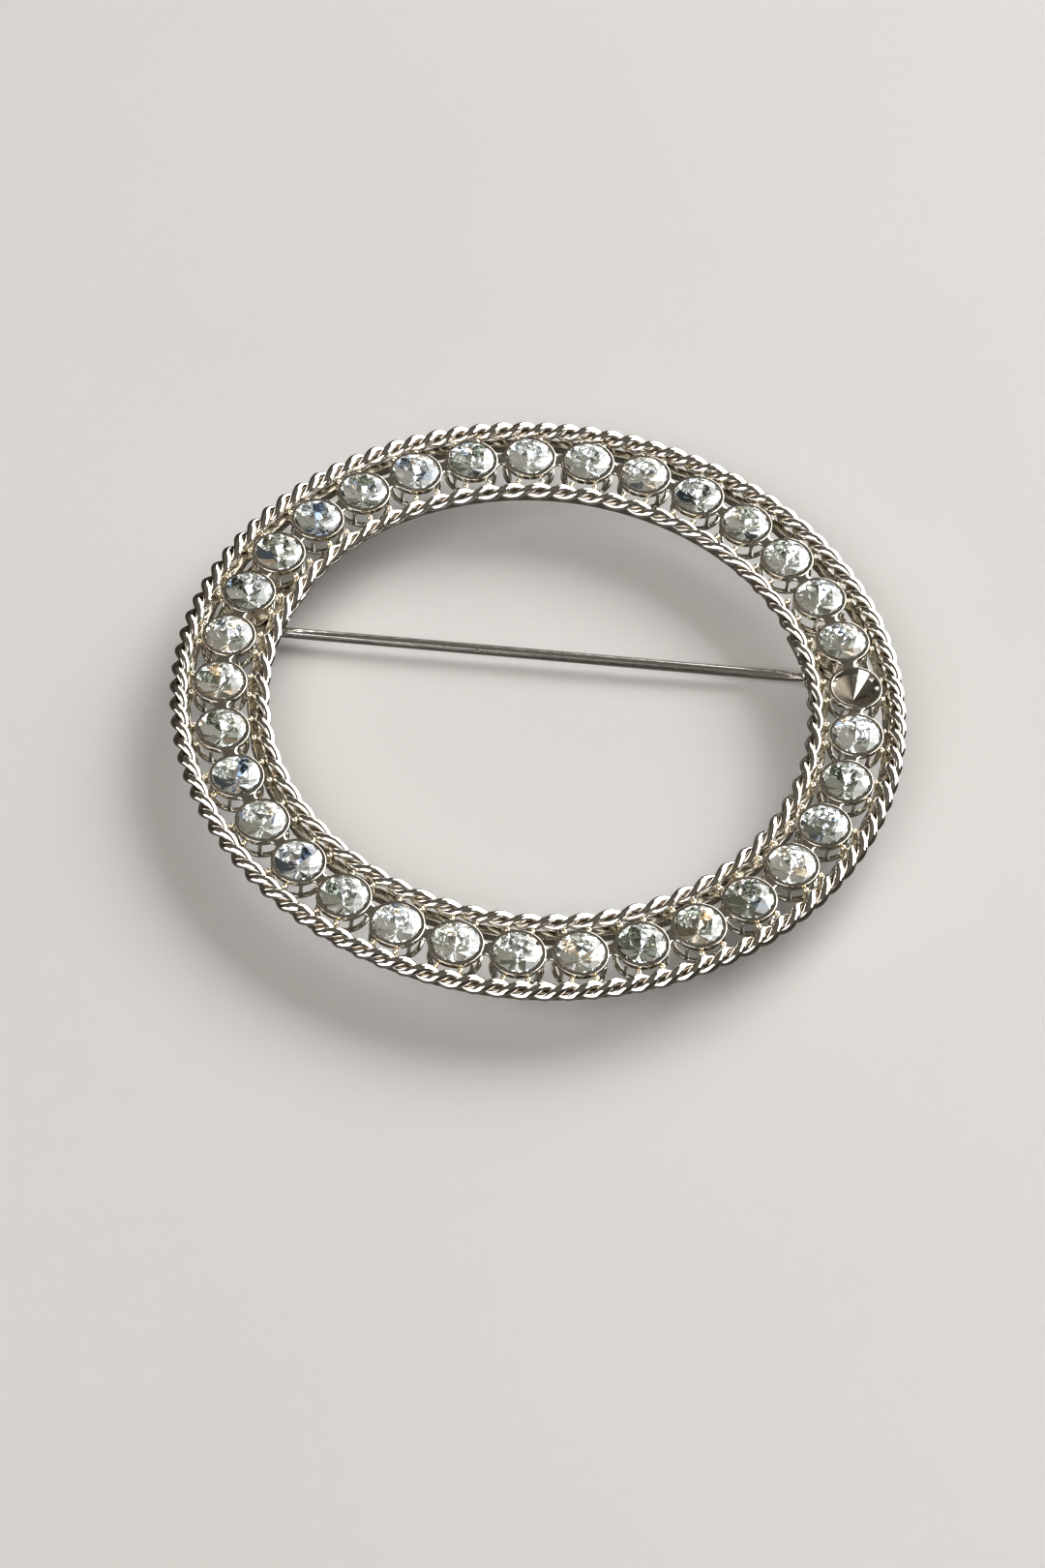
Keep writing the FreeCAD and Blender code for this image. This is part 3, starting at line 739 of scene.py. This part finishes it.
def brilliant(radius, girdle_foot, girdle_top, table, culet):
    """A round cut stone: table, star, kite and girdle facets above, kites and halves below.

    Returns the shape and, for each facet, whether it is below the girdle.
    """
    table_radius = radius * 0.58
    star_radius = radius * 0.80
    lower_radius = radius * 0.70
    crown_slope = (table - girdle_top) / (radius - table_radius)
    pavilion_slope = (girdle_foot - culet) / radius
    half = math.cos(FULL_TURN / 16)
    star = table - crown_slope * (star_radius * half - table_radius)
    lower = culet + pavilion_slope * lower_radius * half

    def spoke(at_radius, sixteenth, height):
        turn = FULL_TURN * sixteenth / 16
        return (at_radius * math.cos(turn), at_radius * math.sin(turn), height)

    points = []
    points += [spoke(table_radius, 2 * step, table) for step in range(8)]
    points += [spoke(star_radius, 2 * step + 1, star) for step in range(8)]
    points += [spoke(radius, step, girdle_top) for step in range(16)]
    points += [spoke(radius, step, girdle_foot) for step in range(16)]
    points += [spoke(lower_radius, 2 * step + 1, lower) for step in range(8)]
    points.append((0, 0, culet))
    tables, stars, tops, feet, lowers, tip = 0, 8, 16, 32, 48, 56
    crown = [tuple(range(8))]
    pavilion = []
    for step in range(8):
        following = (step + 1) % 8
        kite_foot = 2 * step
        half_foot = 2 * step + 1
        next_foot = (2 * step + 2) % 16
        crown.append((tables + step, stars + step, tables + following))
        crown.append((tables + step, stars + (step - 1) % 8, tops + kite_foot, stars + step))
        crown.append((stars + step, tops + kite_foot, tops + half_foot))
        crown.append((stars + step, tops + half_foot, tops + next_foot))
        pavilion.append((lowers + step, feet + kite_foot, feet + half_foot))
        pavilion.append((lowers + step, feet + half_foot, feet + next_foot))
        pavilion.append((tip, lowers + (step - 1) % 8, feet + kite_foot, lowers + step))
    for step in range(16):
        following = (step + 1) % 16
        crown.append((tops + step, tops + following, feet + following, feet + step))
    below = [0] * len(crown) + [1] * len(pavilion)
    return (np.array(points, float), crown + pavilion), below


def make_stones():
    """The stones, each turned and tipped its own way in its cup, with its own random pick of painted reflections
    on its foiled facets.
    """
    pavilion_depth = 1.6
    girdle_thickness = 0.1
    lean = 0.5
    for node in stone_nodes:
        centre = middle(node)
        low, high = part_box(node)
        culet, table = low.z / MM, high.z / MM
        girdle = culet + pavilion_depth
        shape, below = brilliant(stone_radius, girdle, girdle + girdle_thickness, table, culet)
        turn = dice.uniform(0, FULL_TURN)
        tip = Matrix.Rotation(math.radians(dice.gauss(0, lean)), 4, "X")
        tip @= Matrix.Rotation(math.radians(dice.gauss(0, lean)), 4, "Y")
        lift = Matrix.Translation((0, 0, girdle))
        place = at(centre.x, centre.y, 0) @ lift @ tip @ lift.inverted() @ Matrix.Rotation(turn, 4, "Z")
        item = make_piece(
            "cut_" + node, moved(shape, place), [stone_glass, stone_foil],
            "frame", [node], 1, below,
        )
        # Each facet's random pick sets which painted reflection its foil shows.
        reflection_picks = [dice.random() for _ in below]
        attribute = item.data.attributes.new("painted_facet_reflection", "FLOAT", "FACE")
        attribute.data.foreach_set("value", reflection_picks)


make_stones()


# ---------------------------------------------------------------- The back: plates, hinge, pin and catch

joints = {joint["name"]: joint for joint in frame["joints"]}
hinge = Vector(joints["pin_hinge"]["pos_m"]) / MM
catch = Vector(joints["safety_turn"]["pos_m"]) / MM
# Cutters reach this far, to be clear of whatever they cut.
CLEAR = 4


def make_plate(node):
    """A backing plate with rounded edges that follows the ring."""
    inner, outer, foot, top = ring_span(node)
    points = points_of(node)
    centre = middle(node)
    turn = math.atan2(centre.y, centre.x)
    angles = (np.arctan2(points[:, 1], points[:, 0]) - turn + math.pi) % FULL_TURN - math.pi
    half = float(np.abs(angles).max())
    steps = 16
    sweep = [turn + half * (2 * step / steps - 1) for step in range(steps + 1)]
    outline = [(outer * math.cos(angle), outer * math.sin(angle)) for angle in sweep]
    outline += [(inner * math.cos(angle), inner * math.sin(angle)) for angle in reversed(sweep)]
    shape = machined(prism(outline, foot, top), [], edge=0.12)
    make_piece(node + "_rounded", shape, [finding_metal], "frame", [node])


def make_hinge(plate_floor):
    """The bracket's base and two ears, and the rivet with its domed heads."""
    low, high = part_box("hinge_bracket")
    half_width = (high.y - low.y) / 2 / MM
    half_length = (high.x - low.x) / 2 / MM
    ear = 1.1
    base_thickness = 0.4
    rise = plate_floor - hinge.z
    floor = rise - base_thickness
    shoulder_height = rise - 0.02
    knuckle_room = 0.65
    rivet_hole = 0.37
    base = prism(rectangle((-half_length, floor), (half_length, rise)), -half_width, half_width, "Y")
    arch = [(-ear, shoulder_height)]
    arch += [(-across, -up) for across, up in circle(ear, 48)[:25]]
    arch.append((ear, shoulder_height))
    gap = rectangle((-CLEAR, -CLEAR), (CLEAR, floor))
    steps = [
        ("UNION", prism(arch, -half_width, half_width, "Y")),
        ("DIFFERENCE", prism(gap, -knuckle_room, knuckle_room, "Y")),
        ("DIFFERENCE", prism(circle(rivet_hole), -CLEAR, CLEAR, "Y")),
    ]
    bracket = moved(machined(base, steps, edge=0.07), Matrix.Translation(hinge))
    make_piece("hinge_bracket_formed", bracket, [finding_metal], "frame", ["hinge_bracket"])
    low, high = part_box("hinge_rivet")
    end = (high.y - low.y) / 2 / MM
    head = (high.z - low.z) / 2 / MM
    crown = head * 0.55
    edge = half_width + 0.08
    shank = 0.35
    outline = eased([
        (0, -end, 0),
        (crown, -end, 0.10),
        (head, -edge, 0.06),
        (head, -half_width, 0),
        (shank, -half_width, 0),
        (shank, half_width, 0),
        (head, half_width, 0),
        (head, edge, 0.06),
        (crown, end, 0.10),
        (0, end, 0),
    ])
    upright = lathe(outline, 40)
    rivet = moved(upright, Matrix.Translation(hinge) @ Matrix.Rotation(-math.pi / 2, 4, "X"))
    make_piece("hinge_rivet_domed", rivet, [pin_metal], "frame", ["hinge_rivet"])


def make_pin():
    """The pin: a drilled knuckle, a thicker root, a long straight stem and a ground point."""
    low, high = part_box("pin_stem")
    tip = high.x / MM - hinge.x
    knuckle = 0.8
    knuckle_width = 1.2
    rivet_hole = 0.4
    root, wire, point = 0.55, 0.45, 0.36
    stem = [
        (0, 0.5, 0),
        (root, 0.5, 0),
        (root, 2.0, 0.3),
        (wire, 2.6, 0.3),
        (wire, 45.7, 0.8),
        (point, 47.5, 0.8),
        (point, tip - 1.3, 0.9),
        (0.05, tip - 0.04, 0.03),
        (0, tip, 0),
    ]
    lying = Matrix.Rotation(math.pi / 2, 4, "Y")
    stem_shape = moved(lathe(eased(stem), 32), lying)
    half = knuckle_width / 2
    drum = prism(circle(knuckle), -half, half, "Y")
    steps = [("UNION", stem_shape), ("DIFFERENCE", prism(circle(rivet_hole), -CLEAR, CLEAR, "Y"))]
    shape = moved(machined(drum, steps, edge=0.05), Matrix.Translation(hinge))
    make_piece("pin_stem_drawn", shape, [pin_metal], "pin", ["pin_stem"], 30)


def make_catch(plate_floor):
    """The C-shaped jaws on their neck, and the slotted roller with its grooved thumb tab."""
    low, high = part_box("catch_housing")
    half_length = (high.x - low.x) / 2 / MM
    outer = 1.45
    bore = 1.0
    neck = 0.75
    rise = plate_floor - catch.z
    depth = 2 * outer
    mouth = depth * math.tan(math.radians(43))
    tab_room = 0.575
    tab_slot = rectangle((-CLEAR, -CLEAR), (CLEAR, 0.5))
    steps = [
        ("UNION", prism(rectangle((-neck, 0), (neck, rise)), -half_length, half_length, "X")),
        ("DIFFERENCE", prism(circle(bore, 64), -CLEAR, CLEAR, "X")),
        ("DIFFERENCE", prism([(0, 0), (-mouth, -depth), (mouth, -depth)], -CLEAR, CLEAR, "X")),
        ("DIFFERENCE", prism(tab_slot, -tab_room, tab_room, "X")),
    ]
    barrel = prism(circle(outer, 64), -half_length, half_length, "X")
    housing = moved(machined(barrel, steps, edge=0.07), Matrix.Translation(catch))
    make_piece("catch_housing_jaws", housing, [finding_metal], "frame", ["catch_housing"])
    low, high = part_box("safety_rotor")
    roller_half = (high.x - low.x) / 2 / MM
    reach = high.y / MM - catch.y
    roller = 0.95
    slot = 0.42
    tab = 0.22
    tab_half = 0.475
    first_groove, groove_pitch, groove_radius = 0.35, 0.3, 0.07
    steps = [
        ("UNION", prism(rectangle((0.5, -tab), (reach, tab)), -tab_half, tab_half, "X")),
        ("DIFFERENCE", prism(rectangle((-slot, -CLEAR), (slot, 0)), -CLEAR, CLEAR, "X")),
        ("DIFFERENCE", prism(circle(slot), -CLEAR, CLEAR, "X")),
    ]
    for groove in range(4):
        for side in (-1, 1):
            across = reach - first_groove - groove_pitch * groove
            cutter = circle(groove_radius, 16, across, side * (tab + 0.02))
            steps.append(("DIFFERENCE", prism(cutter, -CLEAR, CLEAR, "X")))
    drum = prism(circle(roller, 64), -roller_half, roller_half, "X")
    rotor = moved(machined(drum, steps, edge=0.04, edge_steps=2), Matrix.Translation(catch))
    name = "safety_rotor_grooved"
    make_piece(name, rotor, [finding_metal], "safety_rotor", ["safety_rotor"])


make_plate("hinge_plate")
make_plate("catch_plate")
plate_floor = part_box("hinge_plate")[0].z / MM
make_hinge(plate_floor)
make_pin()
make_catch(plate_floor)


# ---------------------------------------------------------------- Floor, light and camera


def make_floor():
    """A plain pale floor just under the brooch. It's seen from above only, and fades out far away."""
    shading = Shading("pale_floor")
    cloud = shading.noise(60, detail=5)
    colour = shading.blend(cloud, (0.74, 0.72, 0.69, 1), (0.80, 0.785, 0.76, 1))
    grain = shading.noise(0.5, detail=3)
    surface = shading.node("BsdfPrincipled", {
        "Base Color": colour,
        "Roughness": shading.spread(grain, 0.3, 0.7, 0.55, 0.75),
        "Normal": shading.bump(grain, 0.01),
    })
    clear = shading.node("BsdfTransparent")
    distance = shading.node("VectorMath", {0: shading.place}, operation="LENGTH").outputs["Value"]
    fade = shading.spread(distance, 0.7, 1.4)
    behind = shading.node("NewGeometry").outputs["Backfacing"]
    share = shading.math("MAXIMUM", fade, behind)
    mix = shading.node("MixShader", {0: share, 1: surface.outputs[0], 2: clear.outputs[0]})
    material = shading.finish(mix)
    half = 1.5
    gap = 0.0001
    height = cad_box[0].z - gap
    mesh = bpy.data.meshes.new("floor")
    corners = [(-half, -half, height), (half, -half, height), (half, half, height), (-half, half, height)]
    mesh.from_pydata(corners, [], [(0, 1, 2, 3)])
    mesh.materials.append(material)
    floor = bpy.data.objects.new("floor", mesh)
    bpy.context.scene.collection.objects.link(floor)
    # The polished metal mirrors the dim studio, not the floor, as it mirrors dark cloth in use.
    floor.visible_glossy = False
    # The pin opens downwards, so the floor sinks ahead of its point, over twice as far as its middle.
    pin_drop = 30 * MM
    floor_drop = 2.1 * pin_drop
    sink = floor.constraints.new("TRANSFORM")
    sink.target = bpy.data.objects["pin_stem_drawn"]
    sink.map_to_z_from = "Z"
    sink.from_min_z = -pin_drop
    sink.to_min_z = -floor_drop


def make_softbox(name, azimuth, elevation, distance, width, height, strength, seen_by):
    """A rectangular softbox facing the brooch. Azimuth is measured from +X towards +Y.

    seen_by is "room" for one that lights only dull surfaces such as the floor, "metal" for one that shows
    only in polished metal, and "stones" for one that shows only through glass.
    """
    turn, rise = math.radians(azimuth), math.radians(elevation)
    direction = Vector((math.cos(turn) * math.cos(rise), math.sin(turn) * math.cos(rise), math.sin(rise)))
    light = bpy.data.lights.new(name, "AREA")
    light.shape = "RECTANGLE"
    light.size = width
    light.size_y = height
    light.energy = strength * math.pi * width * height
    item = bpy.data.objects.new(name, light)
    item.location = direction * distance
    item.rotation_mode = "QUATERNION"
    item.rotation_quaternion = direction.to_track_quat("Z", "Y")
    item.visible_camera = False
    item.visible_diffuse = seen_by == "room"
    item.visible_glossy = seen_by == "metal"
    item.visible_transmission = seen_by == "stones"
    bpy.context.scene.collection.objects.link(item)


def make_world():
    """A dim warm studio for the metal to mirror, and a pale backdrop for the camera."""
    world = bpy.data.worlds.new("studio")
    bpy.context.scene.world = world
    world.use_nodes = True
    tree = world.node_tree
    tree.nodes.clear()
    place = tree.nodes.new("ShaderNodeTexCoord")
    split = tree.nodes.new("ShaderNodeSeparateXYZ")
    ramp = tree.nodes.new("ShaderNodeValToRGB")
    height = tree.nodes.new("ShaderNodeMapRange")
    height.inputs["From Min"].default_value = -1.0
    tree.links.new(place.outputs["Generated"], split.inputs[0])
    tree.links.new(split.outputs["Z"], height.inputs["Value"])
    tree.links.new(height.outputs["Result"], ramp.inputs["Fac"])
    fill_ramp(ramp.color_ramp, [
        (0.0, (0.150, 0.138, 0.122, 1)),
        (0.25, (0.060, 0.053, 0.046, 1)),
        (0.48, (0.026, 0.021, 0.018, 1)),
        (0.62, (0.050, 0.044, 0.035, 1)),
        (0.85, (0.118, 0.105, 0.086, 1)),
        (1.0, (0.130, 0.116, 0.096, 1)),
    ])
    studio = tree.nodes.new("ShaderNodeBackground")
    tree.links.new(ramp.outputs["Color"], studio.inputs["Color"])
    path = tree.nodes.new("ShaderNodeLightPath")
    # Rays that leave a stone see the studio brighter, as cut glass throws more of the room at the eye.
    lift = tree.nodes.new("ShaderNodeMapRange")
    lift.inputs["To Min"].default_value = 1.0
    lift.inputs["To Max"].default_value = 3.2
    tree.links.new(path.outputs["Is Transmission Ray"], lift.inputs["Value"])
    tree.links.new(lift.outputs["Result"], studio.inputs["Strength"])
    backdrop = tree.nodes.new("ShaderNodeBackground")
    backdrop.inputs["Color"].default_value = (0.62, 0.60, 0.57, 1)
    mix = tree.nodes.new("ShaderNodeMixShader")
    tree.links.new(path.outputs["Is Camera Ray"], mix.inputs[0])
    tree.links.new(studio.outputs[0], mix.inputs[1])
    tree.links.new(backdrop.outputs[0], mix.inputs[2])
    output = tree.nodes.new("ShaderNodeOutputWorld")
    tree.links.new(mix.outputs[0], output.inputs["Surface"])


def make_camera():
    """A long lens looking down at the brooch from the front, turned a little about its own line of sight."""
    elevation = math.radians(51.84)
    distance = 432.9 * MM
    aim = Vector((-0.74 * MM, -9.43 * MM, rim * MM))
    roll = math.radians(4.85)
    data = bpy.data.cameras.new("camera")
    data.lens = 121.39
    data.sensor_width = 36
    data.clip_start = 0.01
    data.clip_end = 20
    camera = bpy.data.objects.new("camera", data)
    towards = Vector((-0.0017, math.cos(elevation), -math.sin(elevation))).normalized()
    rolled = Matrix.Rotation(roll, 3, "Z").to_quaternion()
    camera.location = aim - towards * distance
    camera.rotation_mode = "QUATERNION"
    camera.rotation_quaternion = towards.to_track_quat("-Z", "Y") @ rolled
    bpy.context.scene.collection.objects.link(camera)
    bpy.context.scene.camera = camera


make_floor()
make_world()
make_softbox("room_key", 49, 40, 2.0, 1.6, 1.2, 5.0, "room")
make_softbox("room_fill", -122, 50, 2.0, 1.6, 1.2, 3.0, "room")
make_softbox("metal_back_right", 49, 12, 2.0, 2.7, 2.6, 6.5, "metal")
make_softbox("metal_front_left", -122, 36, 2.0, 1.5, 1.3, 3.4, "metal")
make_softbox("metal_front_low", -135, 0, 2.0, 3.2, 1.4, 2.2, "metal")
make_softbox("metal_high_right", 12, 40, 2.0, 2.2, 1.2, 6.5, "metal")
make_softbox("stone_back_right", 49, 32, 1.9, 1.0, 0.6, 3.4, "stones")
make_softbox("stone_front", -105, 36, 1.9, 1.9, 1.6, 5.6, "stones")
make_softbox("stone_above", -140, 78, 1.9, 1.2, 1.2, 1.0, "stones")
make_camera()
bpy.context.scene.view_settings.view_transform = "Standard"
# Light goes to and fro many times inside a foiled stone.
bpy.context.scene.cycles.max_bounces = 24
bpy.context.scene.cycles.glossy_bounces = 16
bpy.context.scene.cycles.transmission_bounces = 20
